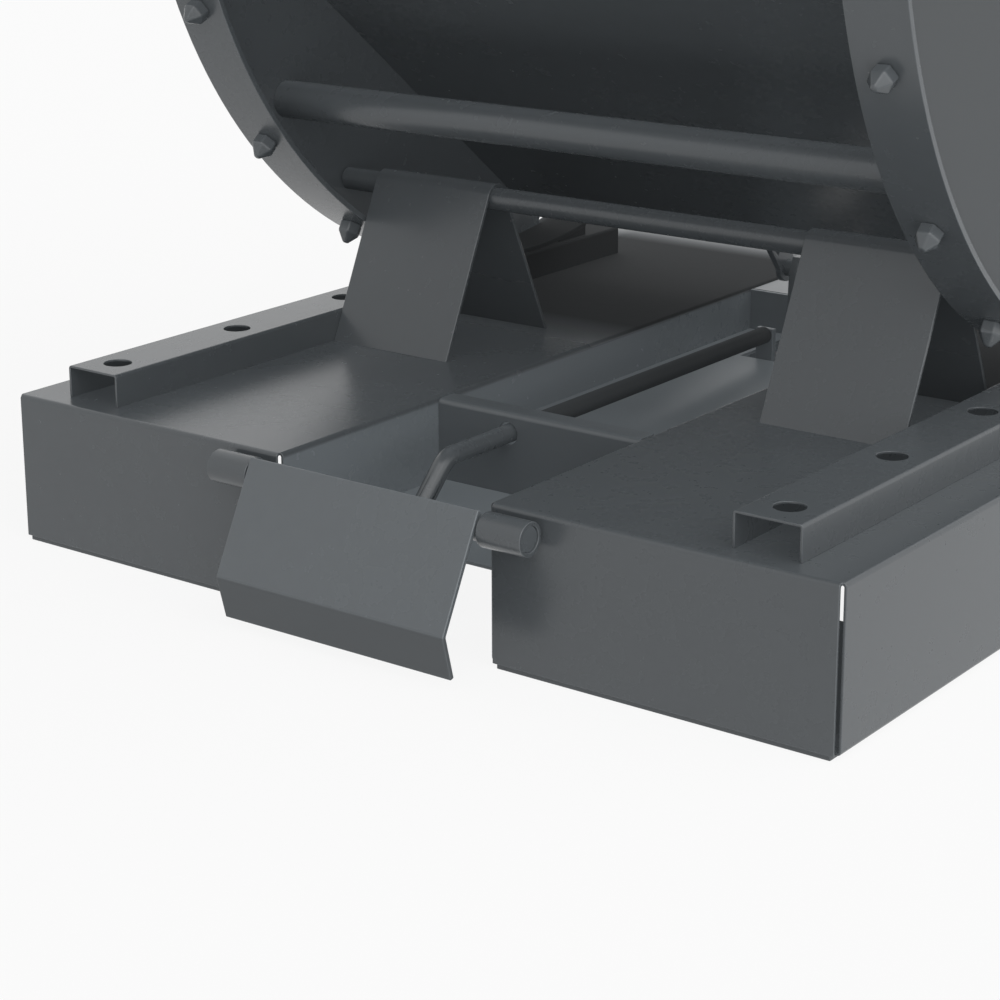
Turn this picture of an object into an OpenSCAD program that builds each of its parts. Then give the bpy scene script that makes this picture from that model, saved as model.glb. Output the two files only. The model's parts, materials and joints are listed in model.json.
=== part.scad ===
/* [Fork pockets] */
// Width of the base over both fork pockets
base_w = 1000; // [980:5:1040]
// Depth of the base, from its closed front to its open rear
base_d = 1090; // [1060:5:1100]
// Height of the base, from the floor to the top of the pockets
base_h = 162; // [156:1:180]
// Outside width of one fork pocket
pocket_w = 372.5; // [360:0.5:380]
// Thickness of the pocket's folded sheet
pocket_sheet = 3; // [2.5:0.5:4]
// Width of the small flange folded in at the foot of each pocket wall
pocket_return = 25; // [20:1:40]
// Width of the open seam at each front corner of a pocket
seam_gap = 2; // [1:0.5:3]
// Thickness of the straps under the pockets
strap_t = 5; // [4:0.5:8]
// Depth of one strap, from front to back
strap_d = 290; // [150:5:320]
// How far the straps stand in from the pocket's sides
strap_inset = 8.5; // [5:0.5:15]
// How far the straps stand in from the front and the rear of the base
strap_end = 1.5; // [1:0.5:15]

/* [Rails] */
// Distance from the middle of the base to the middle of a rail
track_x = 410; // [405:1:415]
// Width of a rail
rail_w = 70; // [66:1:74]
// Height of a rail
rail_h = 35; // [30:1:45]
// Thickness of the rail's folded sheet
rail_t = 2.5; // [2:0.5:5]
// Distance from the front of the base to the front end of a rail
rail_front = 24.5; // [15:0.5:35]
// Distance from the rail's rear end to the rear of the base
rail_rear = 140; // [110:1:160]
// Distance from the front of the base to the first stud hole
first_hole = 62; // [55:1:75]
// Distance from one stud hole to the next
hole_pitch = 185.2; // [180:0.2:190]
// Diameter of a stud hole
hole_d = 30; // [28:0.5:34]
// Number of stud holes in a rail
hole_count = 5;

/* [Rocker] */
// Rolling radius of the rockers
roll_r = 600; // [590:1:610]
// Where the rockers touch the rails at rest, from the front of the base
contact_y = 755; // [745:1:765]
// Width of the rolled band
band_w = 65; // [60:1:66]
// Thickness of the rolled band
band_t = 6; // [5:0.5:8]
// Width across the flats of a stud
stud_flats = 23.4; // [18:0.1:24]
// Height of a stud's straight part
stud_neck = 12; // [5:0.5:13]
// Height of a stud's pointed part
stud_tip = 12; // [10:0.5:14]

/* [Hopper] */
// Height of the hopper's top edge above the pockets
hopper_top = 904; // [860:1:930]
// Slope of the front sheet, in degrees from level
slope_deg = 38.2; // [37:0.1:39]
// Distance from the rocker's centre to the outer face of the front sheet
slope_offset = 398; // [392:1:404]
// Slope of the lower back sheet, in degrees from level
back_deg = 58.7; // [55:0.1:62]
// How far the lower back sheet runs back before it turns upright
back_run = 105; // [95:1:109]
// Thickness of the hopper's sheets and side plates
shell_t = 4; // [3:0.5:5]
// Inner radius of the folds in the hopper's sheets
shell_fold = 20; // [10:1:25]
// Size of the square tube round the top edge
rim_s = 40; // [30:1:44]
// Wall of the rim tube
rim_t = 3; // [2:0.5:4]
// Depth of the tube under the pouring lip
lip_tube_h = 25; // [20:1:30]
// Diameter of the tube between the rockers
cross_tube_d = 42.4; // [38:0.1:48.3]
// Wall of the tube between the rockers
cross_tube_wall = 3.2; // [2.6:0.1:4]
// Free space between that tube and the inside of the rocker bands
cross_tube_gap = 41.5; // [35:0.5:50]
// Its direction from the rocker's centre, in degrees forward of straight down
cross_tube_deg = 47.3; // [44:0.1:50]

/* [Keeper] */
// Diameter of the keeper rod that runs inside both rockers
keeper_d = 26; // [24:0.5:28]
// Distance from the front of the base to the keeper rod
keeper_y = 467; // [464:1:470]
// Height of the keeper rod above the pockets
keeper_z = 169; // [168:1:174]
// Width of a keeper frame
frame_w = 163; // [150:1:170]
// Thickness of a keeper frame's plate
frame_t = 4; // [3:0.5:6]
// Slope of a keeper frame's legs, in degrees from upright
leg_deg = 24.6; // [23:0.1:26]
// Distance from the left frame to its rail
left_frame_gap = 0.3; // [0.3:0.1:10]
// Distance from the right frame to its rail
right_frame_gap = 19; // [5:1:25]

/* [Pedal] */
// Diameter of the pedal shaft
shaft_d = 25; // [20:0.5:26]
// Distance from a pocket's inner wall to the outer end of its pedal bush
bush_past = 63.5; // [60:0.5:68]
// How far the pedal shaft ends inside its bushes
shaft_inset = 1.5; // [0.5:0.5:4]
// Outside diameter of a pedal bush
bush_d = 33.7; // [32:0.1:38]
// Length of a pedal bush
bush_len = 50; // [40:1:55]
// Distance from the front of the base forward to the pedal shaft
shaft_y = 20; // [20:0.5:26]
// Depth of the pedal shaft below the top of the pockets
shaft_z = 17.5; // [17:0.5:25]
// Thickness of the pedal plate
pedal_t = 5; // [4:0.5:6]
// Slope of the pedal plate, in degrees from upright
pedal_deg = 26.7; // [24:0.1:28]
// Depth of the pedal's fold below the top of the pockets
fold_z = 105; // [98:1:108]
// Length of the pedal's lip
lip_len = 46; // [38:1:46]
// Slope of the lip back from the fold, in degrees from upright
lip_deg = 14.9; // [10:0.1:18]

/* [Release] */
// Diameter of the bent release rod
rod_d = 20; // [16:0.5:22]
// Distance from the middle of the base to the release rod, to the left
rod_x = 36; // [34:0.5:39]
// Depth of the release rod's upper run below the top of the pockets
rod_z = 22.5; // [22:0.5:26]
// Depth of the pin on the pedal below the pedal shaft
pedal_arm = 52.5; // [50:0.5:54]
// Distance from the front of the base to the rod's upper bend
bend_y = 147; // [140:1:155]
// Diameter of the pins at the ends of the release rod
pin_d = 12; // [10:0.5:13]
// Diameter of the spring rod under the floor plate
push_d = 16; // [12:0.5:18]
// Depth of the spring rod below the top of the pockets
push_z = 115; // [110:1:118]
// Distance from the front of the base to the latch hook's pivot
hook_y = 836; // [834:1:840]
// Depth of the latch hook's pivot below the top of the pockets
hook_z = 75; // [73:1:77]
// Length of the latch hook's lower arm
hook_arm = 65; // [63:1:67]
// Thickness of the latch hook
hook_t = 10; // [8:0.5:12]
// Diameter of the latch hook's pivot pin
hook_pin_d = 16; // [12:0.5:18]
// Diameter of the catch bar under the hopper
catch_d = 20; // [16:0.5:22]

/* [Channel] */
// Distance from the front of the base to the front cross plate
cross_y = 250; // [245:1:255]
// Width of the front cross plate's top flange
cross_flange = 27; // [20:1:35]
// Thickness of the plates between the pockets
plate_t = 4; // [3:0.5:6]
// Depth of the front floor plate below the top of the pockets
front_floor_z = 88; // [86:1:95]
// Depth of the long floor plate below the top of the pockets
floor_z = 52; // [50:1:56]
// Distance from the front of the base to the rear cross plate
rear_cross_y = 880; // [878:1:890]
// Distance from the front of the base to the slot for the latch hook
slot_y = 759; // [745:1:760]
// Width of the slot for the latch hook
slot_w = 62; // [50:1:70]

/* [Crane pins] */
// Diameter of a crane pin
crane_d = 50; // [40:1:60]
// Length of a crane pin that a lifting eye can sit on
crane_len = 36; // [30:1:38]
// Diameter of the cross hole for the pin that keeps the lifting eye on
keep_hole_d = 8; // [6:0.5:10]

/* [Hidden] */
$fn = 96;
steel = "#5b6064";
steel_dark = "#4b5054";
bare = "#9a9ea1";

// Clearances: rolling surfaces, plates side by side, and shafts in their bores
roll_gap = 0.3;
side_gap = 0.5;
run_gap = 0.08;
rod_gap = 2;

// Places that follow from the driving sizes, before the part is set in its own frame:
// x from the middle, y back from the front of the base, z up from the top of the pockets
foot_z = -base_h;
wall_foot = strap_t - base_h;
pocket_in = base_w / 2 - pocket_w;
pocket_out = base_w / 2;
rocker_z = rail_h + roll_r;
rocker = [contact_y, rocker_z];
band_out = roll_r - roll_gap;
band_in = band_out - band_t;
band_edge = 6;
side_out = track_x + band_w / 2 - band_edge;
side_in = side_out - shell_t;
pivot = [-shaft_y, -shaft_z];
down = [-sin(slope_deg), -cos(slope_deg)];
along = [cos(slope_deg), -sin(slope_deg)];
fold_clear = 4.6;
shell_foot = rocker + slope_offset * down
    + sqrt(pow(band_in - fold_clear, 2) - pow(slope_offset, 2)) * along;
shell_lip = shell_foot - along * (hopper_top - shell_foot[1]) / sin(slope_deg);
back_y = shell_foot[0] + back_run;
shell_knee = [back_y, shell_foot[1] + back_run * tan(back_deg)];
shell_top = [back_y, hopper_top];
front_y = shell_lip[0] - lip_tube_h * sin(slope_deg);
rear_y = max(base_d, back_y + rim_s);
mid_y = (front_y + rear_y) / 2;

// Angle of stud k from straight down, so that each stud meets its own hole as the rocker rolls
function stud_deg(k) = (contact_y - first_hole - k * hole_pitch) / roll_r * 180 / PI;

// Point at radius r and angle a forward of straight down, seen from the rocker's centre
function on_rocker(r, a) = rocker + r * [-sin(a), -cos(a)];

// Outline of a sheet of thickness t folded along path, with the sheet on the path's left side
function heading(a, b) = atan2(b[1] - a[1], b[0] - a[0]);
function turn(a, b) = let (d = b - a) d > 180 ? d - 360 : d <= -180 ? d + 360 : d;
function normal(a) = [cos(a + 90), sin(a + 90)];
function bend(p, i, t, r, face) =
    let (a = heading(p[i - 1], p[i]), w = turn(a, heading(p[i], p[i + 1])),
        s = w > 0 ? 1 : -1, h = w > 0 ? r + t : -r,
        c = p[i] + normal(a + w / 2) * h / cos(w / 2),
        q = (s > 0) == (face == 0) ? r + t : r,
        n = max(2, ceil(abs(w) / 12)))
    [for (k = [0:n]) c - s * q * normal(a + w * k / n)];
function face_points(p, t, r, face) =
    let (n = len(p) - 1, off = face == 0 ? 0 : t)
    concat([p[0] + off * normal(heading(p[0], p[1]))],
        n < 2 ? [] : [for (i = [1:n - 1]) each bend(p, i, t, r, face)],
        [p[n] + off * normal(heading(p[n - 1], p[n]))]);
function reversed(v) = [for (i = [len(v) - 1:-1:0]) v[i]];
function folded(p, t, r) = concat(face_points(p, t, r, 0), reversed(face_points(p, t, r, 1)));

// Sets a piece in the part's own frame, with its origin under the middle of the whole
module place() translate([0, -mid_y, base_h]) children();

// Extrudes an outline drawn in y and z along x, from x0 for a width w
module across(x0, w) translate([x0, 0, 0]) rotate([90, 0, 90]) linear_extrude(w) children();

// Extrudes an outline drawn in x and z along y, from y0 for a depth d
module backwards(y0, d) translate([0, y0 + d, 0]) rotate([90, 0, 0]) linear_extrude(d) children();

// Round bar or tube along x, and along y
module bar_x(x0, w, y, z, d, bore = 0) translate([x0, y, z]) rotate([0, 90, 0]) difference() {
    cylinder(h = w, d = d);
    if (bore > 0) translate([0, 0, -1]) cylinder(h = w + 2, d = bore);
}
module bar_y(x, y0, len, z, d, bore = 0) translate([x, y0, z]) rotate([-90, 0, 0]) difference() {
    cylinder(h = len, d = d);
    if (bore > 0) translate([0, 0, -1]) cylinder(h = len + 2, d = bore);
}

// Block between two corners
module block(a, b) translate(a) cube(b - a);

// Mirrors a right-hand piece to the left
module left() mirror([1, 0, 0]) children();

// Fork pocket: one sheet folded to a channel with inturned feet, closed by a flange at the front
flange_edge = pocket_sheet + seam_gap * 0.75;
wall_front = pocket_sheet + seam_gap;
module pocket_cover() {
    fold_r = 1.5;
    walls = [[pocket_out - pocket_return, wall_foot], [pocket_out, wall_foot], [pocket_out, 0],
        [pocket_in, 0], [pocket_in, wall_foot], [pocket_in + pocket_return, wall_foot]];
    flange = [[wall_front + 10, 0], [0, 0], [0, wall_foot]];
    backwards(wall_front, base_d - wall_front) polygon(folded(walls, pocket_sheet, fold_r));
    across(pocket_in + flange_edge, pocket_w - 2 * flange_edge)
        polygon(folded(flange, pocket_sheet, fold_r));
}
module right_pocket_cover() place() color(steel) pocket_cover();
module left_pocket_cover() place() color(steel) left() pocket_cover();

// Flat straps across the foot of a pocket
module strap(y0) block([pocket_in + strap_inset, y0, foot_z],
    [pocket_out - strap_inset, y0 + strap_d, wall_foot]);
module right_front_strap() place() color(steel_dark) strap(strap_end);
module left_front_strap() place() color(steel_dark) left() strap(strap_end);
module right_rear_strap() place() color(steel_dark) strap(base_d - strap_end - strap_d);
module left_rear_strap() place() color(steel_dark) left() strap(base_d - strap_end - strap_d);

// Rail: a folded channel, open downwards, with a row of stud holes in its top
rail_in = track_x - rail_w / 2;
rail_out = track_x + rail_w / 2;
module rail() difference() {
    backwards(rail_front, base_d - rail_rear - rail_front)
        polygon(folded([[rail_out, 0], [rail_out, rail_h], [rail_in, rail_h], [rail_in, 0]],
            rail_t, 1));
    for (k = [0:hole_count - 1]) translate([track_x, first_hole + k * hole_pitch, rail_h / 2])
        cylinder(h = rail_h, d = hole_d);
}
module right_rail() place() color(steel) rail();
module left_rail() place() color(steel) left() rail();

// Chock: fills the wedge between the rail and the rear end of the rocker band
band_rear_deg = -12;
chock_gap = 1.2;
chock_inset = 8;
chock_h = 14;
module chock() {
    chock_front = contact_y + roll_r * sin(7);
    chock_rear = contact_y + roll_r * sin(-band_rear_deg) + band_t;
    difference() {
        block([rail_in + chock_inset, chock_front, rail_h],
            [rail_out - chock_inset, chock_rear, rail_h + chock_h]);
        bar_x(rail_in, rail_w, rocker[0], rocker[1], 2 * (band_out + chock_gap));
    }
}
module right_chock() place() color(steel) chock();
module left_chock() place() color(steel) left() chock();

// Plates in the channel between the two pockets
module channel_plate(y0, y1, z0, z1) block([-pocket_in, y0, z0], [pocket_in, y1, z1]);
top_drop = 2;
module front_cross_plate() place() color(steel) difference() {
    across(-pocket_in, 2 * pocket_in) polygon(folded([[cross_y + cross_flange, 0], [cross_y, 0],
        [cross_y, -front_floor_z]], plate_t, 2));
    bar_y(-rod_x, cross_y - 1, plate_t + 2, -rod_z, rod_d + 2 * rod_gap);
}
front_floor_y = 60;
module front_floor_plate() place() color(steel)
    channel_plate(front_floor_y, cross_y + plate_t, -front_floor_z - plate_t, -front_floor_z);
module channel_floor_plate() place() color(steel) difference() {
    channel_plate(cross_y + plate_t, rear_cross_y, -floor_z - plate_t, -floor_z);
    block([-rod_x - slot_w / 2, slot_y, -floor_z - plate_t - 1],
        [-rod_x + slot_w / 2, rear_cross_y + 1, -floor_z + 1]);
}
rear_plate_foot = wall_foot + 30;
module rear_cross_plate() place() color(steel)
    channel_plate(rear_cross_y, rear_cross_y + plate_t, rear_plate_foot, -top_drop);
module rear_deck_plate() place() color(steel) across(-pocket_in, 2 * pocket_in)
    polygon(folded([[base_d, rear_plate_foot], [base_d, -top_drop],
        [rear_cross_y + plate_t + 2, -top_drop]], plate_t, 2));

// Keeper frame: a plate folded over the keeper rod, standing on the pocket
module keeper_frame(x0) {
    hug = keeper_d / 2 + roll_gap;
    apex = keeper_z + (hug + frame_t) / sin(leg_deg);
    foot_cut = 10;
    reach = (apex + foot_cut) * tan(leg_deg);
    difference() {
        across(x0, frame_w) polygon(folded([[keeper_y + reach, -foot_cut], [keeper_y, apex],
            [keeper_y - reach, -foot_cut]], frame_t, hug));
        block([x0 - 1, keeper_y - reach - 1, -2 * foot_cut], [x0 + frame_w + 1, keeper_y + reach + 1, 0]);
    }
}
module left_keeper_frame() place() color(steel) keeper_frame(-rail_in + left_frame_gap);
module right_keeper_frame() place() color(steel) keeper_frame(rail_in - right_frame_gap - frame_w);
keeper_play = 3;
module keeper_rod() place() color(steel)
    bar_x(keeper_play - side_in, 2 * (side_in - keeper_play), keeper_y, keeper_z, keeper_d);

// Pedal bush: a short tube on a welded foot, at each side of the channel
shaft_len = 2 * (pocket_in + bush_past);
bush_in = shaft_len / 2 - bush_len;
module pedal_bush() difference() {
    union() {
        bar_x(bush_in, bush_len, pivot[0], pivot[1], bush_d);
        block([bush_in + 4, pivot[0], pivot[1] - 6], [bush_in + bush_len - 4, 0, pivot[1] + 6]);
    }
    bar_x(bush_in - 1, bush_len + 2, pivot[0], pivot[1], shaft_d + 2 * run_gap);
}
module right_pedal_bush() place() color(steel) pedal_bush();
module left_pedal_bush() place() color(steel) left() pedal_bush();

// Pedal: a shaft with a folded plate welded to its front
module pedal_shaft() place() color(steel)
    bar_x(shaft_inset - shaft_len / 2, shaft_len - 2 * shaft_inset, pivot[0], pivot[1], shaft_d);
plate_down = [-sin(pedal_deg), -cos(pedal_deg)];
plate_out = [-cos(pedal_deg), sin(pedal_deg)];
plate_back = pivot + plate_out * shaft_d / 2;
function pedal_back(z) = plate_back + plate_down * (plate_back[1] - z) / cos(pedal_deg);
pedal_half = bush_in - 2;
pedal_top_z = 3;
module pedal_plate() place() color(steel) {
    off = plate_out * pedal_t;
    fold = pedal_back(-fold_z - off[1]) + off;
    lip = fold + lip_len * [sin(lip_deg), -cos(lip_deg)];
    across(-pedal_half, 2 * pedal_half)
        polygon(folded([pedal_back(pedal_top_z - off[1]) + off, fold, lip], pedal_t, 4));
}

// Two lugs behind the plate, and the pin through them
rod_eye_t = 8;
lug_t = 6;
pedal_pin_z = pivot[1] - pedal_arm;
module pedal_lugs() place() color(steel) for (s = [-1, 1])
    translate([-rod_x + s * (rod_eye_t / 2 + side_gap + lug_t / 2) - lug_t / 2, 0, 0]) difference() {
        union() {
            across(0, lug_t) polygon([pedal_back(pedal_pin_z + 24), pedal_back(pedal_pin_z - 24),
                [pivot[0] + 2, pedal_pin_z - pin_d], [pivot[0] + 2, pedal_pin_z + pin_d]]);
            bar_x(0, lug_t, pivot[0], pedal_pin_z, 2 * pin_d);
        }
        bar_x(-1, lug_t + 2, pivot[0], pedal_pin_z, pin_d);
    }
lug_span = rod_eye_t + 2 * side_gap + 2 * lug_t;
module pedal_pin() place() color(bare)
    bar_x(-rod_x - lug_span / 2 - 3, lug_span + 6, pivot[0], pedal_pin_z, pin_d);

// Release rod: from an eye on the pedal's pin, up a double bend, through the cross plate, and
// back over the floor plate to the slot
bend_r = 30;
bend_deg = 45;
rod_low = pedal_pin_z;
rod_rise = -rod_z - rod_low;
low_y = bend_y - rod_rise / tan(bend_deg);
tangent = bend_r * tan(bend_deg / 2);
drop_y = slot_y + 3;
eye_back = pivot[0] + 28;
pin_play = 0.4;
module elbow(y, z, from) translate([-rod_x, y, z]) rotate([90, 0, 90]) rotate([0, 0, from])
    rotate_extrude(angle = bend_deg) translate([bend_r, 0]) circle(d = rod_d);
module release_rod() place() color(steel) {
    lean = rod_rise / sin(bend_deg) - 2 * tangent;
    bar_y(-rod_x, eye_back, low_y - tangent - eye_back, rod_low, rod_d);
    elbow(low_y - tangent, rod_low + bend_r, -90);
    translate([-rod_x, low_y + tangent * cos(bend_deg), rod_low + tangent * sin(bend_deg)])
        rotate([bend_deg - 90, 0, 0]) cylinder(h = lean, d = rod_d);
    elbow(bend_y + tangent, -rod_z - bend_r, 90);
    bar_y(-rod_x, bend_y + tangent, drop_y - bend_y - tangent, -rod_z, rod_d);
    difference() {
        translate([-rod_x - rod_eye_t / 2, 0, 0]) union() {
            block([0, pivot[0], rod_low - 15], [rod_eye_t, eye_back, rod_low + 16]);
            bar_x(0, rod_eye_t, pivot[0], rod_low, 30);
            bar_x(0, rod_eye_t, pivot[0], rod_low + 1, 30);
        }
        pin_slot(pivot[0], rod_low, 6);
    }
}

// Upright slot that lets a pin rise as it swings
module pin_slot(y, z, rise) {
    d = pin_d + 2 * pin_play;
    bar_x(-rod_x - 20, 40, y, z, d);
    bar_x(-rod_x - 20, 40, y, z + rise, d);
    block([-rod_x - 20, y - d / 2, z], [-rod_x + 20, y + d / 2, z + rise]);
}

// Drop plate at the release rod's rear end: it reaches down through the slot, with the fork on its
// rear side and the spring rod on its front side, both under the floor
drop_t = 8;
fork_half = hook_t / 2 + side_gap + 6;
hook_arm_z = -hook_z - hook_arm;
fork_foot = hook_arm_z - 11;
module drop_plate() place() color(steel)
    block([-rod_x - fork_half, drop_y, fork_foot], [-rod_x + fork_half, drop_y + drop_t, -rod_z + 8]);

// Collar on the spring rod, guide plate under the floor, and the spring between them
guide_y = 520;
collar_y = 420;
collar_t = 10;
spring_d = 26;
wire_d = 3;
spring_turns = 9;
push_y = collar_y - 10;
module push_rod() place() color(bare) bar_y(-rod_x, push_y, drop_y - push_y, -push_z, push_d);
module spring_collar() place() color(bare)
    bar_y(-rod_x, collar_y, collar_t, -push_z, spring_d + 8, push_d);
module rod_guide() place() color(steel) difference() {
    block([-rod_x - 30, guide_y, -push_z - 20], [-rod_x + 30, guide_y + 6, -floor_z - plate_t]);
    bar_y(-rod_x, guide_y - 1, 8, -push_z, push_d + 2 * run_gap);
}

// Round wire wound along y as one unbroken tube, from y0 to y1
spring_y0 = collar_y + collar_t + wire_d / 2 + 0.2;
spring_y1 = guide_y - wire_d / 2 - 0.2;
function coil_point(u) = [-rod_x + spring_d / 2 * cos(360 * u * spring_turns),
    spring_y0 + (spring_y1 - spring_y0) * u, -push_z + spring_d / 2 * sin(360 * u * spring_turns)];
function coil_ring(u, sides) = let (a = 360 * u * spring_turns, c = coil_point(u))
    [for (k = [0:sides - 1]) let (b = 360 * k / sides)
        c + wire_d / 2 * [cos(b) * cos(a), sin(b), cos(b) * sin(a)]];
echo(spring_gap = norm(coil_point(1 / spring_turns) - coil_point(0)) - wire_d);
module return_spring() place() color(bare) {
    sides = 6;
    rings = 8 * spring_turns;
    points = [for (i = [0:rings]) each coil_ring(i / rings, sides)];
    skin = [for (i = [0:rings - 1]) for (k = [0:sides - 1]) let (a = i * sides + k,
        b = i * sides + (k + 1) % sides) each [[a, b, b + sides], [a, b + sides, a + sides]]];
    ends = [[for (k = [sides - 1:-1:0]) k], [for (k = [0:sides - 1]) rings * sides + k]];
    polyhedron(points, concat(skin, ends));
}

// Latch hook: pivots under the floor plate and stands up through the slot, nose to the catch bar
catch_deg = -11.2;
catch_r = roll_r + 12.4;
catch = on_rocker(catch_r, catch_deg);
nose_gap = 4;
nose_y = catch[0] - catch_d / 2 - nose_gap;
nose_low = catch[1] + catch_d / 2 + 3;
nose_top = nose_low + 12;
hook = [hook_y, -hook_z];
hook_head_d = 2.5 * hook_pin_d;
hook_foot_d = 2.2 * pin_d;
module latch_hook() place() color(steel) difference() {
    union() {
        bar_x(-rod_x - hook_t / 2, hook_t, hook[0], hook[1], hook_head_d);
        bar_x(-rod_x - hook_t / 2, hook_t, hook[0], hook_arm_z, hook_foot_d);
        across(-rod_x - hook_t / 2, hook_t) polygon([[hook[0] - hook_foot_d / 2, hook_arm_z],
            [hook[0] - hook_head_d * 0.45, hook[1]], [hook[0] - 12, nose_low - 8],
            [hook[0] - 4, nose_top], [nose_y, nose_top], [nose_y, nose_low],
            [hook[0] + 12, nose_low], [hook[0] + 12, nose_low - 3 * hook_t],
            [hook[0] + hook_head_d * 0.45, hook[1]], [hook[0] + hook_foot_d / 2, hook_arm_z]]);
    }
    bar_x(-rod_x - hook_t, 2 * hook_t, hook[0], hook[1], hook_pin_d + 2 * run_gap);
    bar_x(-rod_x - hook_t, 2 * hook_t, hook[0], hook_arm_z, pin_d);
}

// Two ears at the sides of the slot, the pivot pin through them, and its spacer tubes
ear_t = 6;
ear_x = slot_w / 2;
module hook_bracket() place() color(steel) for (s = [-1, 1]) difference() {
    translate([-rod_x + s * (ear_x + ear_t / 2) - ear_t / 2, 0, 0]) union() {
        block([0, hook[0] - 22, hook[1] - 3], [ear_t, hook[0] + 22, -floor_z - plate_t]);
        bar_x(0, ear_t, hook[0], hook[1] - 3, 44);
    }
    bar_x(-rod_x - slot_w, 2 * slot_w, hook[0], hook[1], hook_pin_d);
}
module hook_pin() place() color(bare) {
    half = ear_x + ear_t + 4;
    bar_x(-rod_x - half, 2 * half, hook[0], hook[1], hook_pin_d);
}
module hook_spacers() place() color(bare) for (s = [-1, 1]) {
    gap = hook_t / 2 + side_gap;
    len = ear_x - gap;
    bar_x(-rod_x + (s > 0 ? gap : -gap - len), len, hook[0], hook[1], hook_pin_d + 8, hook_pin_d);
}

// Fork on the drop plate, with an upright slot for the pin in the hook's lower arm
fork_y = drop_y + drop_t;
fork_top = hook_arm_z + 15;
module push_fork() place() color(bare) difference() {
    block([-rod_x - fork_half, fork_y, fork_foot], [-rod_x + fork_half, hook[0] + 11, fork_top]);
    block([-rod_x - hook_t / 2 - side_gap, fork_y + 8, fork_foot - 1],
        [-rod_x + hook_t / 2 + side_gap, hook[0] + 12, fork_top + 1]);
    pin_slot(hook[0], hook_arm_z, 5);
}
module hook_arm_pin() place() color(bare)
    bar_x(-rod_x - fork_half - 2, 2 * fork_half + 4, hook[0], hook_arm_z, pin_d);

// Crane pin: a flanged pin on the rocker's own centre, with a cross hole near its end
crane_flange = 8;
crane_flange_rim = 30;
crane_bevel = 2;
crane_end = 5;
keep_hole_z = crane_flange + crane_len + keep_hole_d / 2;
crane_tip = keep_hole_z + keep_hole_d / 2 + crane_end;
module crane_pin() translate([side_out + roll_gap, rocker[0], rocker[1]]) rotate([0, 90, 0])
    difference() {
        union() {
            cylinder(h = crane_flange, d = crane_d + 2 * crane_flange_rim);
            cylinder(h = crane_tip - crane_bevel, d = crane_d);
            translate([0, 0, crane_tip - crane_bevel])
                cylinder(h = crane_bevel, d1 = crane_d, d2 = crane_d - 2 * crane_bevel);
        }
        translate([0, -crane_d, keep_hole_z]) rotate([-90, 0, 0])
            cylinder(h = 2 * crane_d, d = keep_hole_d);
    }
module right_crane_pin() place() color(steel) crane_pin();
module left_crane_pin() place() color(steel) left() crane_pin();

// Side plate: the hopper's side and, under the front sheet, the rocker's round segment, which laps
// over the side so that the two are one plate at any size
module side_plate() {
    past_foot = shell_foot + roll_r / 3 * along;
    lap = (shell_lip + shell_foot) / 2 - roll_r / 12 * down;
    across(side_in, shell_t) polygon([shell_lip, shell_foot, shell_knee, shell_top]);
    intersection() {
        bar_x(side_in, shell_t, rocker[0], rocker[1], 2 * band_in);
        across(side_in, shell_t) polygon([shell_lip, lap, shell_foot, past_foot,
            past_foot + roll_r * down, shell_lip + roll_r * down]);
    }
}
module right_side_plate() place() color(steel) side_plate();
module left_side_plate() place() color(steel) left() side_plate();

// Rocker band: flat bar rolled to the rolling radius, from under the hopper's heel to its front
band_front_deg = 86;
module rocker_band() translate([track_x - band_w / 2, rocker[0], rocker[1]]) rotate([90, 0, 90])
    rotate([0, 0, -90 - band_front_deg]) rotate_extrude(angle = band_front_deg - band_rear_deg, $fn = 360)
        translate([band_in, 0]) square([band_t, band_w]);
module right_rocker_band() place() color(steel) rocker_band();
module left_rocker_band() place() color(steel) left() rocker_band();

// Studs on the band: hexagonal, with a blunt pointed tip
module studs() {
    corner_d = stud_flats / cos(30);
    tip_d = 7;
    for (k = [0:hole_count - 1]) {
        at = on_rocker(band_out, stud_deg(k));
        translate([track_x, at[0], at[1]]) rotate([180 - stud_deg(k), 0, 0]) {
            cylinder(h = stud_neck, d = corner_d, $fn = 6);
            translate([0, 0, stud_neck]) cylinder(h = stud_tip, d1 = corner_d, d2 = tip_d, $fn = 6);
        }
    }
}
module right_rocker_studs() place() color(steel) studs();
module left_rocker_studs() place() color(steel) left() studs();

// Hopper sheets between the side plates
heel_len = 80;
heel = shell_foot + heel_len * [cos(back_deg), sin(back_deg)];
module slope_sheet() place() color(steel) across(-side_in, 2 * side_in)
    polygon(folded([shell_lip, shell_foot, heel], shell_t, shell_fold));
module back_sheet() place() color(steel) across(-side_in, 2 * side_in)
    polygon(folded([heel, shell_knee, shell_top], shell_t, shell_fold));

// Square tubes round the top edge, and a flat one under the pouring lip: closed at the ends,
// with a drain hole near each end of the underside
drain_d = 10;
drain_in = 30;
module square_tube(l, a, b, t) difference() {
    cube([l, a, b]);
    translate([t, t, t]) cube([l - 2 * t, a - 2 * t, b - 2 * t]);
    for (x = [drain_in, l - drain_in]) translate([x, a / 2, -1]) cylinder(h = t + 2, d = drain_d);
}
module front_lip_tube() place() color(steel) translate([-side_out, shell_lip[0], shell_lip[1]])
    rotate([-slope_deg, 0, 0]) translate([0, 0, -lip_tube_h])
        square_tube(2 * side_out, rim_s, lip_tube_h, rim_t);
rim_front = shell_lip[0] + 6;
module side_rim() translate([side_out + rim_s, rim_front, hopper_top - rim_s]) rotate([0, 0, 90])
    square_tube(back_y + rim_s - rim_front, rim_s, rim_s, rim_t);
module right_rim() place() color(steel) side_rim();
module left_rim() place() color(steel) left() side_rim();
module rear_rim() place() color(steel) translate([-side_out, back_y, hopper_top - rim_s])
    square_tube(2 * side_out, rim_s, rim_s, rim_t);

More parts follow.
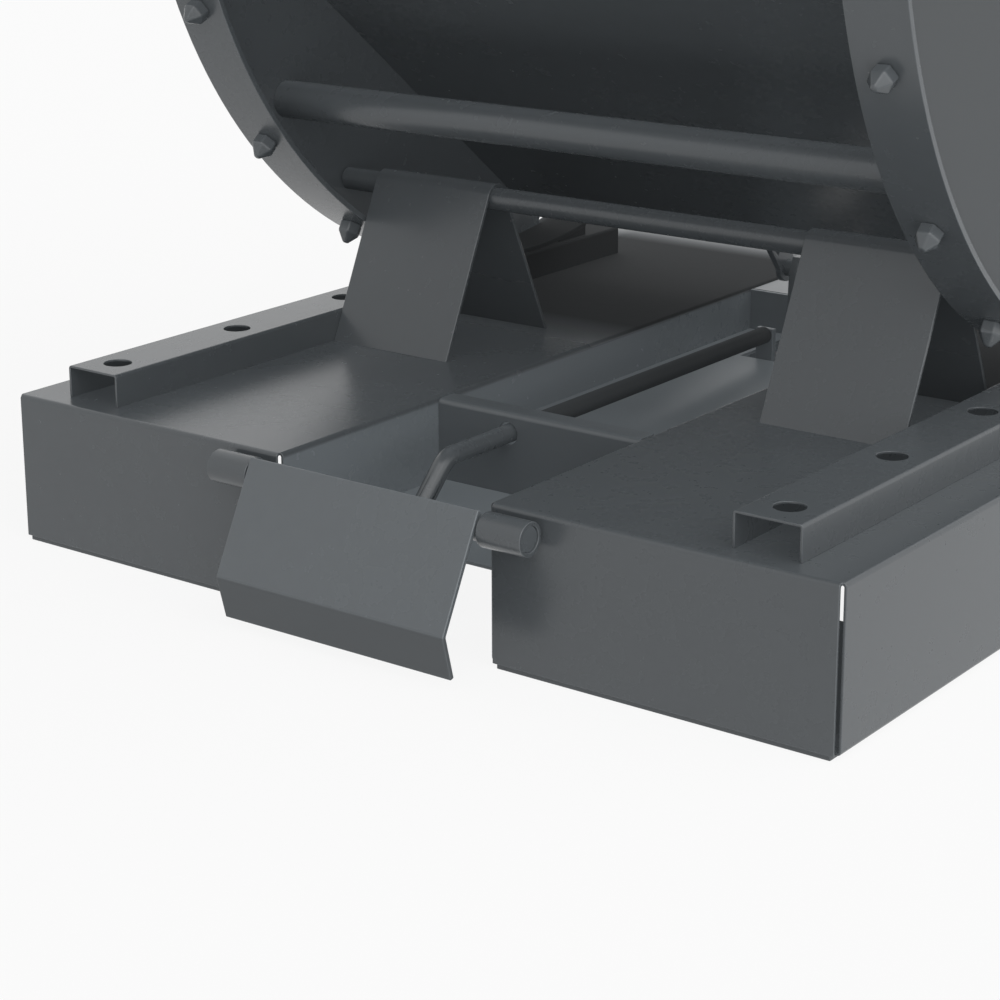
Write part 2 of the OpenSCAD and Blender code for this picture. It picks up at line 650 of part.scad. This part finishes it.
// Thick tube between the rockers, ahead of the keeper frames
module cross_tube() place() color(steel) {
    at = on_rocker(band_in - cross_tube_gap - cross_tube_d / 2, cross_tube_deg);
    bar_x(-side_in, 2 * side_in, at[0], at[1], cross_tube_d, cross_tube_d - 2 * cross_tube_wall);
}

// Catch bar under the hopper's heel, and the two lugs that carry it
lug_x = slot_w / 2 + 4;
catch_lug_t = 8;
module catch_bar() place() color(steel)
    bar_x(-rod_x - lug_x - catch_lug_t, 2 * (lug_x + catch_lug_t), catch[0], catch[1], catch_d);
module catch_lugs() place() color(steel) for (s = [-1, 1]) difference() {
    translate([-rod_x + s * (lug_x + catch_lug_t / 2) - catch_lug_t / 2, 0, 0]) union() {
        bar_x(0, catch_lug_t, catch[0], catch[1], catch_d + 14);
        across(0, catch_lug_t) polygon([catch + [-catch_d / 2 - 7, 0], catch + [catch_d / 2 + 7, 0],
            shell_foot + 40 * [cos(back_deg), sin(back_deg)], shell_foot, shell_foot - 34 * along]);
    }
    bar_x(-rod_x - 100, 200, catch[0], catch[1], catch_d);
    across(-rod_x - 100, 200) polygon([shell_lip, shell_foot, heel, shell_top]);
}

left_pocket_cover();
right_pocket_cover();
left_front_strap();
right_front_strap();
left_rear_strap();
right_rear_strap();
left_rail();
right_rail();
left_chock();
right_chock();
front_cross_plate();
front_floor_plate();
channel_floor_plate();
rear_cross_plate();
rear_deck_plate();
left_keeper_frame();
right_keeper_frame();
keeper_rod();
left_pedal_bush();
right_pedal_bush();
rod_guide();
hook_bracket();
hook_pin();
hook_spacers();
return_spring();
pedal_shaft();
pedal_plate();
pedal_lugs();
pedal_pin();
release_rod();
drop_plate();
push_rod();
spring_collar();
push_fork();
latch_hook();
hook_arm_pin();
left_crane_pin();
right_crane_pin();
left_side_plate();
right_side_plate();
left_rocker_band();
right_rocker_band();
left_rocker_studs();
right_rocker_studs();
slope_sheet();
back_sheet();
front_lip_tube();
left_rim();
right_rim();
rear_rim();
cross_tube();
catch_bar();
catch_lugs();
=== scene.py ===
import json
from math import cos, pi, radians, sin, tan

import bmesh
import bpy
from mathutils import Matrix, Vector


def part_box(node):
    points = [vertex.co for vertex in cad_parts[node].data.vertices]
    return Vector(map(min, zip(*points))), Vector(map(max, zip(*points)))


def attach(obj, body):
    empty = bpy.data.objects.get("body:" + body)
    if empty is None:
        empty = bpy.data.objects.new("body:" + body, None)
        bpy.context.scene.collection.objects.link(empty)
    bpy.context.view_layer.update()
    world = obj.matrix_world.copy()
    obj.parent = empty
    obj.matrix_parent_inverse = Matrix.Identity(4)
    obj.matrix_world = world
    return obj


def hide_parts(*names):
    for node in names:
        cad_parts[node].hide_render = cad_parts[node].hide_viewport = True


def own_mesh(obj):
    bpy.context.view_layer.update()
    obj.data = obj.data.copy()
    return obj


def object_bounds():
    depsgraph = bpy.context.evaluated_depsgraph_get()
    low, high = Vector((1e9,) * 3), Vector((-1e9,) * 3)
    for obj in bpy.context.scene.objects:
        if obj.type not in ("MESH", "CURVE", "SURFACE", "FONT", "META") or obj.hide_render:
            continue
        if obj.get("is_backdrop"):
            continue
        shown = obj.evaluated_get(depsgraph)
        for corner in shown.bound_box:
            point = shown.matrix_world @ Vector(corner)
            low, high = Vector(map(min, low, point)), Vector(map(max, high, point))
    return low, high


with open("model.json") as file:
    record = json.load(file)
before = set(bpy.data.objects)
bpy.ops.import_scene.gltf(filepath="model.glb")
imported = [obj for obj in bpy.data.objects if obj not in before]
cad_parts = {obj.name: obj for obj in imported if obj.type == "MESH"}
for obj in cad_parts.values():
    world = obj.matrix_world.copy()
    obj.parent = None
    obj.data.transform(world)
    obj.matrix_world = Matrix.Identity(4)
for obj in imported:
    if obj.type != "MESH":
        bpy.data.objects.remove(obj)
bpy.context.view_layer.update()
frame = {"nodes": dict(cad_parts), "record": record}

# The viewpoint: at a standing person's chest, in front of the container and to its right, through
# a long lens whose frame is shifted down, so that only the lower front is seen.
pocket_low, pocket_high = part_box("right_pocket_cover")
front_y, pocket_top_z = pocket_low.y, pocket_high.z
to_the_right, in_front, above_pockets = 1.4492, 1.7386, 0.7159
turn_left, look_down, lean = radians(36.935), radians(15.913), radians(-0.214)
ahead = Vector((-sin(turn_left) * cos(look_down), cos(turn_left) * cos(look_down), -sin(look_down)))
level_right = Vector((cos(turn_left), sin(turn_left), 0))
level_up = level_right.cross(ahead)
right = cos(lean) * level_right + sin(lean) * level_up
up = -sin(lean) * level_right + cos(lean) * level_up
camera_data = bpy.data.cameras.new("viewpoint")
camera_data.sensor_width = 36
camera_data.lens = 90.04
camera_data.shift_y = -0.095
camera_data.clip_end = 50
camera = bpy.data.objects.new("viewpoint", camera_data)
bpy.context.scene.collection.objects.link(camera)
camera.matrix_world = Matrix((right, up, -ahead)).transposed().to_4x4()
camera.location = Vector((to_the_right, front_y - in_front, pocket_top_z + above_pockets))
bpy.context.scene.camera = camera
bpy.context.scene.view_settings.view_transform = "Standard"


# The floor and the light: a white studio sweep, lit from all round and most of all from the right
# by big soft boxes. Three wide fills cast no shadow, so they reach under the hopper and into the
# channel. The camera and the gloss of the paint see plain white all round.
class Flow:
    """A socket on its way through a material: sums on it add their Math nodes."""

    def __init__(self, tree, socket=None):
        self.tree, self.socket = tree, socket

    def node(self, kind, settings={}, values={}, out=0):
        made = self.tree.nodes.new("ShaderNode" + kind)
        for name, value in settings.items():
            setattr(made, name, value)
        for place, value in values.items():
            if isinstance(value, Flow):
                self.tree.links.new(value.socket, made.inputs[place])
            else:
                made.inputs[place].default_value = value
        return Flow(self.tree, made.outputs[out])

    def math(self, operation, first, second):
        return self.node("Math", {"operation": operation}, {0: first, 1: second})

    def __add__(self, other):
        return self.math("ADD", self, other)

    def __radd__(self, other):
        return self.math("ADD", other, self)

    def __sub__(self, other):
        return self.math("SUBTRACT", self, other)

    def __rsub__(self, other):
        return self.math("SUBTRACT", other, self)

    def __mul__(self, other):
        return self.math("MULTIPLY", self, other)

    def __rmul__(self, other):
        return self.math("MULTIPLY", other, self)

    def part(self, axis):
        return self.node("SeparateXYZ", {}, {0: self}, out=axis)

    def ramp(self, start, end):
        return self.node("MapRange", {"clamp": True}, {0: self, 1: start, 2: end})

    def mix(self, first, second):
        return self.node("Mix", {"data_type": "RGBA"}, {0: self, 6: first, 7: second}, out=2)

    def into(self, shader, place):
        self.tree.links.new(self.socket, shader.inputs[place])


WHITE = (1, 1, 1, 1)
soft_all_round, soft_right, floor_glow = 0.22, 0.95, 0.85
world = bpy.data.worlds.new("white_sky")
bpy.context.scene.world = world
world.use_nodes = True
background = world.node_tree.nodes["Background"]
background.inputs["Color"].default_value = WHITE
sky = Flow(world.node_tree)
seen = sky.math("MAXIMUM", sky.node("LightPath", out="Is Camera Ray"),
                sky.node("LightPath", out="Is Glossy Ray"))
rightward = sky.node("TexCoord", out="Generated").part(0)
soft_box = soft_all_round + soft_right * sky.math("MAXIMUM", rightward, 0)
(seen + (1 - seen) * soft_box).into(background, "Strength")
fills = (("fill_high", (0.3, -0.5, 0.8), 1.3),
         ("fill_low", (0.3, -0.85, -0.4), 0.3),
         ("fill_right", (0.95, -0.2, 0.25), 0.65))
for name, towards, energy in fills:
    fill_data = bpy.data.lights.new(name, "SUN")
    fill_data.energy = energy
    fill_data.angle = radians(60)
    fill_data.use_shadow = False
    fill = bpy.data.objects.new(name, fill_data)
    fill.rotation_euler = Vector(towards).to_track_quat("Z", "Y").to_euler()
    bpy.context.scene.collection.objects.link(fill)

sweep = bmesh.new()
bmesh.ops.create_circle(sweep, cap_ends=True, segments=64, radius=12)
floor_mesh = bpy.data.meshes.new("floor")
sweep.to_mesh(floor_mesh)
sweep.free()
floor = bpy.data.objects.new("floor", floor_mesh)
bpy.context.scene.collection.objects.link(floor)
white = bpy.data.materials.new("white_floor")
white.use_nodes = True
floor_tree = white.node_tree
paper = floor_tree.nodes["Principled BSDF"]
paper.inputs["Base Color"].default_value = (0.92, 0.92, 0.92, 1)
paper.inputs["Roughness"].default_value = 0.9
paper.inputs["Specular IOR Level"].default_value = 0.1
flat = Flow(floor_tree)
glow = flat.node("Emission", {}, {"Color": WHITE, "Strength": 1.0})
shown = flat.math("MAXIMUM", flat.node("LightPath", out="Is Camera Ray"),
                  flat.node("LightPath", out="Is Glossy Ray"))
blended = flat.node("MixShader", {}, {0: floor_glow * shown,
                                      1: Flow(floor_tree, paper.outputs[0]), 2: glow})
blended.into(floor_tree.nodes["Material Output"], "Surface")
floor_mesh.materials.append(white)
floor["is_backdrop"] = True


# Fork pockets: two covers of 3 mm sheet steel, folded to a channel with a closed front whose
# corners stay open as a narrow seam. Anthracite enamel is sprayed on all the steel of the base.
MM = 0.001
SAME_POINT = 0.01 * MM
OUTWARD = {"left": -1, "right": 1}
ANTHRACITE = (0.070, 0.078, 0.084)
SCRATCHED = (0.30, 0.31, 0.315, 1)
cad = frame["nodes"]
body_of = {node: body for body, nodes in frame["record"]["behaviour"]["bodies"].items()
           for node in nodes}


def shade(tone, factor, lift=0.0):
    """The same colour lighter or darker, with its alpha."""
    return [c * factor + lift for c in tone[:3]] + [1]


def enamel(name, tone, gloss=0.21, dust=0.1, painted_shade=None, painted_light=None, scour=None, run=0.0):
    """Satin enamel from the spray gun: faint clouds, orange peel, edges lightened as a painted
    highlight, and dust on top, made paler than dust alone as painted light on upward faces.
    Masks say where it is darkened by painted shade, lightened by painted light, or scratched
    to the steel, and run is the slope of the scratches."""
    made = bpy.data.materials.new(name)
    made.use_nodes = True
    shader = made.node_tree.nodes["Principled BSDF"]
    spray = Flow(made.node_tree)
    place = spray.node("TexCoord", out="Object")
    facing = spray.node("TexCoord", out="Normal")
    clouds = spray.node("TexNoise", {}, {"Vector": place, "Scale": 2.5, "Detail": 5.0})
    mist = spray.node("TexNoise", {}, {"Vector": place, "Scale": 55.0, "Detail": 3.0})
    peel = spray.node("TexNoise", {}, {"Vector": place, "Scale": 420.0, "Detail": 2.0})
    edge = spray.node("Attribute", {"attribute_name": "edge"}, out="Fac")
    coat = (0.6 * clouds + 0.4 * mist).mix(shade(tone, 1 - dust), shade(tone, 1 + dust))
    # Upward faces are made paler, partly as dust and partly as painted light on the tops; the
    # painted-light mask adds to this.
    dust_and_top_light = 0.3 * facing.part(2).ramp(0.75, 1.0) * clouds.ramp(0.1, 0.6)
    if painted_light:
        dust_and_top_light = dust_and_top_light + painted_light(place)
    coat = dust_and_top_light.mix(coat, shade(tone, 2.5))
    # The marked edges are lightened: a painted highlight.
    coat = (edge * (0.35 + 0.5 * mist)).mix(coat, shade(tone, 1.5, lift=0.01))
    rough = gloss + 0.07 * clouds + 0.05 * mist - 0.05 * edge
    # Painted shade: where the mask says, the paint is darkened nearly to black and made dull.
    if painted_shade:
        shade_film = painted_shade(place)
        coat = (0.85 * shade_film).mix(coat, shade(tone, 0.12))
        rough = rough + 0.7 * shade_film
    if scour:
        rubbed = scour(place, facing)
        drawn = spray.node("Mapping", {"vector_type": "TEXTURE"},
                           {"Vector": place, "Rotation": (run, 0, 0), "Scale": (0.012, 1, 0.012)})
        lines = spray.node("TexNoise", {}, {"Vector": drawn, "Scale": 2.5, "Detail": 6.0,
                                            "Roughness": 0.6})
        bare = rubbed * lines.ramp(0.5, 0.75) * clouds.ramp(0.35, 0.6)
        coat = (0.35 * rubbed).mix(coat, shade(tone, 2.2))
        coat = (0.7 * bare).mix(coat, SCRATCHED)
        (0.8 * bare).into(shader, "Metallic")
        rough = rough + 0.22 * rubbed
    coat.into(shader, "Base Color")
    rough.into(shader, "Roughness")
    bump = spray.node("Bump", {}, {"Strength": 0.035, "Distance": 0.2 * MM, "Height": peel})
    bump.into(shader, "Normal")
    return made


def finished(shape, name, body, material):
    """A piece from its mesh: smooth, with crisp creases, on its body and in its finish."""
    mesh = bpy.data.meshes.new(name)
    for face in shape.faces:
        face.smooth = True
    shape.to_mesh(mesh)
    shape.free()
    if "custom_normal" in mesh.attributes:
        mesh.attributes.remove(mesh.attributes["custom_normal"])
    mesh.set_sharp_from_angle(angle=radians(50))
    mesh.materials.clear()
    mesh.materials.append(material)
    piece = bpy.data.objects.new(name, mesh)
    bpy.context.scene.collection.objects.link(piece)
    shading = piece.modifiers.new("even_shading", "WEIGHTED_NORMAL")
    shading.keep_sharp = True
    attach(piece, body)
    return piece


def dressed(node, material, edge=0.8 * MM, steps=2, edge_highlight=1.0):
    """A CAD node's shape again, with every sharp edge broken as brushing and paint leave it."""
    shape = bmesh.new()
    shape.from_mesh(cad[node].data)
    bmesh.ops.remove_doubles(shape, verts=shape.verts, dist=SAME_POINT)
    bmesh.ops.dissolve_limit(shape, angle_limit=radians(1), verts=shape.verts, edges=shape.edges)
    # Each bevel is marked, and the enamel paints it lighter as a painted highlight.
    highlight_layer = shape.loops.layers.float.new("edge")
    sharp = [e for e in shape.edges if e.is_manifold and e.calc_face_angle() > radians(30)]
    broken = bmesh.ops.bevel(shape, geom=sharp, offset=edge, offset_type="OFFSET", affect="EDGES",
                             segments=steps, profile=0.5, material=-1, clamp_overlap=False)
    for face in broken["faces"]:
        for corner in face.loops:
            corner[highlight_layer] = edge_highlight
    piece = finished(shape, node + "_painted", body_of[node], material)
    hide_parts(node)


def off_centre(place):
    """How far a point lies from the container's middle plane."""
    return place.math("ABSOLUTE", place.part(0), 0)


def shade_under_hopper(place):
    """The deck behind the keeper frames, and what stands on it, darkened as painted shade."""
    shaded_x, unshaded_x = 0.43, 0.47
    unshaded_y, shaded_y, rear_unshaded_y = front_y + 0.53, front_y + 0.63, rear_y - 0.06
    plain_z, shaded_z = pocket_top_z - 4 * MM, pocket_top_z - 2 * MM
    inboard = 1 - off_centre(place).ramp(shaded_x, unshaded_x)
    behind = place.part(1).ramp(unshaded_y, shaded_y) * (1 - place.part(1).ramp(rear_unshaded_y, rear_y))
    return inboard * behind * place.part(2).ramp(plain_z, shaded_z)


def lit_channel_walls(place):
    """The pockets' inner walls, which face the channel, lightened as painted light."""
    lit_x, wall_x = pocket_low.x + 0.5 * MM, pocket_low.x + 1.5 * MM
    lit_z, plain_z = pocket_top_z - 6 * MM, pocket_top_z - 3 * MM
    inner = 1 - off_centre(place).ramp(lit_x, wall_x)
    return 0.9 * inner * (1 - place.part(2).ramp(lit_z, plain_z))


rear_y = pocket_high.y
# The base's enamel gets painted shade on the deck under the hopper and painted light on the channel
# walls.
base_enamel = enamel("base_enamel", ANTHRACITE, painted_shade=shade_under_hopper, painted_light=lit_channel_walls)
for side in OUTWARD:
    dressed(side + "_pocket_cover", base_enamel, 0.7 * MM)

# Straps: four wide flats welded under the pockets, which the container stands on. Their paint is
# duller, for they are sprayed from above and pick up dust from the ground.
strap_enamel = enamel("strap_enamel", shade(ANTHRACITE, 0.8), gloss=0.42, dust=0.25)
for side in OUTWARD:
    for end in ("front", "rear"):
        dressed(f"{side}_{end}_strap", strap_enamel, 0.9 * MM)

# Rails: channels of thin sheet, open side down on the pockets, with a row of round holes for the
# rockers' studs. A small chock of solid steel at each rear end stops the rocker from running back.
for side in OUTWARD:
    dressed(side + "_rail", base_enamel, 0.6 * MM)
    dressed(side + "_chock", base_enamel, 0.5 * MM)

# Plates between the pockets: a cross plate with a folded top, a low floor in front of it, a long
# floor behind it with a slot for the latch hook, and the rear wall and deck.
# The channel's plates are a much lighter tone of the same anthracite, and the cross plate and rear
# deck a little lighter: painted light in the shaded channel.
channel_enamel = enamel("channel_enamel", shade(ANTHRACITE, 1.9), gloss=0.34, dust=0.18)
cross_enamel = enamel("cross_enamel", shade(ANTHRACITE, 1.3), gloss=0.25)
for node in ("front_cross_plate", "rear_deck_plate"):
    dressed(node, cross_enamel, 0.7 * MM)
for node in ("front_floor_plate", "channel_floor_plate", "rear_cross_plate"):
    dressed(node, channel_enamel, 0.7 * MM)

# Keeper frames: each a plate folded over the keeper rod and welded to the pocket by its legs. The
# rod is solid round bar; it runs inside both rockers and holds the hopper down.
for side in OUTWARD:
    dressed(side + "_keeper_frame", base_enamel, 0.8 * MM)
dressed("keeper_rod", base_enamel, 1.0 * MM)

# Push plate: a shaft that turns in two short tubes on the front edge of the base, with a folded
# plate welded to it. Two lugs behind the plate hold the pin of the release rod.
lip_height = 44.5 * MM
fold_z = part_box("pedal_plate")[0].z + lip_height


def shaded_lip(place):
    """The lip below the fold, which faces down and forward, darkened as painted shade."""
    return 0.5 * (1 - place.part(2).ramp(fold_z - 1 * MM, fold_z + 1 * MM))


release_enamel = enamel("release_enamel", shade(ANTHRACITE, 1.16))
# The push plate is a lighter tone of the same anthracite, as painted light from above and in front;
# its lip is darkened as painted shade.
pedal_enamel = enamel("pedal_enamel", shade(ANTHRACITE, 1.45), painted_shade=shaded_lip)


def bare_steel(name, tone, grain):
    """Drawn or turned steel, oiled: fine streaks along the grain and faint stains."""
    made = bpy.data.materials.new(name)
    made.use_nodes = True
    shader = made.node_tree.nodes["Principled BSDF"]
    shader.inputs["Metallic"].default_value = 1.0
    turned = Flow(made.node_tree)
    place = turned.node("TexCoord", out="Object")
    stretched = turned.node("Mapping", {}, {"Vector": place, "Scale": grain})
    streaks = turned.node("TexNoise", {}, {"Vector": stretched, "Scale": 90.0, "Detail": 4.0})
    stains = turned.node("TexNoise", {}, {"Vector": place, "Scale": 30.0, "Detail": 3.0})
    tint = (0.5 * streaks + 0.5 * stains).mix(shade(tone, 0.8), shade(tone, 1.0))
    tint.into(shader, "Base Color")
    (0.26 + 0.16 * streaks).into(shader, "Roughness")
    bump = turned.node("Bump", {}, {"Strength": 0.15, "Distance": 0.1 * MM, "Height": streaks})
    bump.into(shader, "Normal")
    return made


STEEL = (0.45, 0.46, 0.47)
cross_grain = bare_steel("bright_cross_bar", STEEL, (0.2, 6.0, 6.0))
long_grain = bare_steel("bright_long_bar", STEEL, (6.0, 0.2, 6.0))
for side in OUTWARD:
    dressed(side + "_pedal_bush", base_enamel, 0.8 * MM)
dressed("pedal_shaft", release_enamel, 1.0 * MM)
dressed("pedal_plate", pedal_enamel, 1.0 * MM)
dressed("pedal_lugs", release_enamel, 0.8 * MM)
dressed("pedal_pin", cross_grain, 0.8 * MM)

# Release rod: round bar with a flat eye at its front, bent up to run through the cross plate and
# over the floor; the drop plate on its end reaches down through the slot to the fork.
cross_plate_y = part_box("front_cross_plate")[0].y


def shaded_rod_run(place):
    """The rod's run over the floor, darkened as painted shade."""
    return 0.75 * place.part(1).ramp(cross_plate_y + 5 * MM, cross_plate_y + 40 * MM)


# Behind the cross plate the rod's paint is darkened nearly to black: painted shade.
rod_enamel = enamel("rod_enamel", shade(ANTHRACITE, 1.1), painted_shade=shaded_rod_run)
dressed("release_rod", rod_enamel, 0.6 * MM)
dressed("drop_plate", channel_enamel, 0.8 * MM)
dressed("push_fork", long_grain, 0.6 * MM)

# Return spring: round wire on the spring rod, between its collar and a guide plate under the
# floor, wound with one dead turn at each end. It shortens as the push plate is pressed.
for node in ("push_rod", "spring_collar"):
    dressed(node, long_grain, 0.6 * MM)
dressed("rod_guide", base_enamel, 0.8 * MM)
low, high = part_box("return_spring")
middle = (low + high) / 2
wire_r = 1.5 * MM
coil_r = (high.x - low.x) / 2 - wire_r
dead, live, facets = 1, 7, 24
dead_rise = 2 * wire_r + 0.15 * MM
live_rise = (high.y - low.y - 2 * wire_r - 2 * dead * dead_rise) / live
wire = bmesh.new()
bmesh.ops.create_circle(wire, segments=12, radius=wire_r,
                        matrix=Matrix.Translation((middle.x + coil_r, low.y + wire_r, middle.z)))
ring = wire.verts[:] + wire.edges[:]
for turns, rise in ((dead, dead_rise), (live, live_rise), (dead, dead_rise)):
    wound = bmesh.ops.spin(wire, geom=ring, cent=middle, axis=(0, 1, 0), angle=2 * pi * turns,
                           dvec=(0, rise / facets, 0), steps=turns * facets, use_merge=False)
    ring = wound["geom_last"]
bmesh.ops.holes_fill(wire, edges=[e for e in wire.edges if e.is_boundary], sides=0)
bmesh.ops.recalc_face_normals(wire, faces=wire.faces)
spring_steel = bare_steel("spring_steel", shade(STEEL, 0.8), (1.0, 1.0, 1.0))
spring = finished(wire, "return_spring_wound", "base", spring_steel)
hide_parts("return_spring")
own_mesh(spring)

# Latch hook: a flame-cut plate that turns on a pin between two ears under the floor, with spacer
# tubes beside it. It stands up through the slot with its nose at the catch bar.
dressed("hook_bracket", base_enamel, 0.8 * MM)
for node in ("hook_pin", "hook_spacers", "hook_arm_pin"):
    dressed(node, cross_grain, 0.6 * MM)
dressed("latch_hook", release_enamel, 0.8 * MM)

# Crane pins: turned pins with a wide flange, on the rockers' own centre, for a crane's lifting
# eyes. A weld bead runs round the foot of each pin.
# The hopper's enamel is a lighter tone of the same anthracite as the base: painted light on its
# shaded parts.
hopper_enamel = enamel("hopper_enamel", shade(ANTHRACITE, 1.15))
pin_r, flange_t, foot_bead_r, off_corner = 25 * MM, 8 * MM, 3.2 * MM, 0.6 * MM
for side, outward in OUTWARD.items():
    dressed(side + "_crane_pin", hopper_enamel, 0.8 * MM)
    low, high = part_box(side + "_crane_pin")
    centre = (low + high) / 2
    face_x = (low.x if outward > 0 else high.x) + outward * flange_t
    bead = bmesh.new()
    bmesh.ops.create_circle(bead, segments=10, radius=foot_bead_r, matrix=Matrix.Translation(
        (face_x + outward * off_corner, centre.y, centre.z + pin_r + off_corner))
        @ Matrix.Rotation(pi / 2, 4, "X"))
    bmesh.ops.spin(bead, geom=bead.verts[:] + bead.edges[:], cent=(face_x, centre.y, centre.z),
                   axis=(1, 0, 0), angle=2 * pi, steps=72, use_merge=True)
    bmesh.ops.remove_doubles(bead, verts=bead.verts, dist=SAME_POINT)
    bmesh.ops.recalc_face_normals(bead, faces=bead.faces)
    finished(bead, side + "_crane_pin_bead", "carriage", hopper_enamel)

# Hopper sides: plates of 4 mm sheet with a round rocker segment below, each inside a rolled band
# of flat bar. Hexagon studs with blunt points stand on the band and step into the rail's holes.
inner_face_x, outer_face_x = (corner.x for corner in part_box("right_side_plate"))


def shaded_outer_face(place):
    """The outside of the side plates, darkened and dulled as painted shade."""
    return 0.5 * off_centre(place).ramp(outer_face_x - 1.0 * MM, outer_face_x - 0.5 * MM)


# The side plates and bands take that lighter tone too, as painted light; the side plates' outer
# faces get painted shade, and the bands painted shade under the hopper.
side_enamel = enamel("side_enamel", shade(ANTHRACITE, 1.15), painted_shade=shaded_outer_face)
band_enamel = enamel("band_enamel", shade(ANTHRACITE, 1.15), painted_shade=shade_under_hopper)
for side in OUTWARD:
    dressed(side + "_side_plate", side_enamel, 0.6 * MM)
    dressed(side + "_rocker_band", band_enamel, 0.8 * MM)
    dressed(side + "_rocker_studs", hopper_enamel, 1.6 * MM, 3, edge_highlight=0.2)


# Hopper sheets: the long slope and the folded back, which meet in a rounded heel. Their inside is
# scoured by gravel and rubble, so the paint there is duller and scratched as the load slides.
def inside(place, facing):
    """The faces that look into the hopper."""
    to_the_mouth = (0, -0.5, 1)
    into_hopper = place.node("VectorMath", {"operation": "DOT_PRODUCT"},
                             {0: facing, 1: to_the_mouth}, out="Value")
    return into_hopper.ramp(0.1, 0.3)


# The sheets are a lighter tone again of the same anthracite: painted light on their shaded
# underside.
sheet_tone = shade(ANTHRACITE, 1.3)
slope_enamel = enamel("slope_enamel", sheet_tone, scour=inside, run=radians(-38.2))
back_enamel = enamel("back_enamel", sheet_tone, scour=inside, run=radians(90))
dressed("slope_sheet", slope_enamel, 0.6 * MM)
dressed("back_sheet", back_enamel, 0.6 * MM)


# Seam welds: a fillet bead with fine ripples runs down the inside of each side plate, along the
# slope, round the heel's fold and up the back, and holds the sheets to the sides.
def upright(angle):
    """The way into the hopper from a sheet that runs at this angle."""
    return Vector((0, -sin(angle), cos(angle)))


sheet_t, fold_r, bead_r, ripple, sunk = 4 * MM, 20 * MM, 4 * MM, 5 * MM, 1 * MM
short_of_lip, short_of_rim, sides, waist = 30 * MM, 10 * MM, 8, 0.86
corners = [Vector((0, front_y + back, pocket_top_z + height)) for back, height in
           ((-0.2304, 0.9040), (0.8502, 0.0536), (0.9552, 0.2263), (0.9552, 0.9040))]
runs = [(corners[k + 1] - corners[k]).normalized() for k in range(3)]
angles = [run.yz.angle_signed(Vector((1, 0))) for run in runs]
bends = [angles[k + 1] - angles[k] for k in range(2)]
setbacks = [fold_r * abs(tan(bend / 2)) for bend in bends]
trims = list(zip([short_of_lip] + setbacks, setbacks + [short_of_rim]))
route = []
for k, (run, angle, (from_start, from_end)) in enumerate(zip(runs, angles, trims)):
    start = corners[k] + sheet_t * upright(angle) + from_start * run
    end = corners[k + 1] + sheet_t * upright(angle) - from_end * run
    steps = int((end - start).length / ripple)
    route += [(start.lerp(end, j / steps), angle) for j in range(steps + 1)]
    if k < 2:
        fold_centre = end + fold_r * upright(angle)
        arcs = int(fold_r * abs(bends[k]) / ripple)
        for j in range(1, arcs):
            bent = angle + bends[k] * j / arcs
            route.append((fold_centre - fold_r * upright(bent), bent))
for side, outward in OUTWARD.items():
    weld = bmesh.new()
    seam_x = outward * (inner_face_x - sunk)
    for point, angle in route:
        bmesh.ops.create_circle(weld, segments=sides, radius=bead_r, matrix=Matrix.Translation(
            (seam_x, point.y, point.z)) @ Matrix.Rotation(angle, 4, "X")
            @ Matrix.Rotation(pi / 2, 4, "X"))
    weld.verts.ensure_lookup_table()
    for k in range(1, len(route), 2):
        point = route[k][0]
        ring = weld.verts[sides * k:sides * (k + 1)]
        bmesh.ops.scale(weld, verts=ring, vec=(waist, waist, waist),
                        space=Matrix.Translation((-seam_x, -point.y, -point.z)))
    bmesh.ops.bridge_loops(weld, edges=weld.edges[:])
    bmesh.ops.holes_fill(weld, edges=[e for e in weld.edges if e.is_boundary], sides=0)
    bmesh.ops.recalc_face_normals(weld, faces=weld.faces)
    finished(weld, side + "_hopper_weld", "hopper", hopper_enamel)

# Tubes: square tube round the top edge, a flat one under the pouring lip, and a thick round tube
# between the rockers that stiffens the front.
for node in ("front_lip_tube", "left_rim", "right_rim", "rear_rim"):
    dressed(node, hopper_enamel, 1.6 * MM, 3)
dressed("cross_tube", hopper_enamel, 0.8 * MM)

# Catch bar: a short round bar between two lugs under the hopper's heel, which the latch hook
# holds while the push plate hangs free.
dressed("catch_bar", hopper_enamel, 0.8 * MM)
dressed("catch_lugs", hopper_enamel, 0.8 * MM)

low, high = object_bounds()
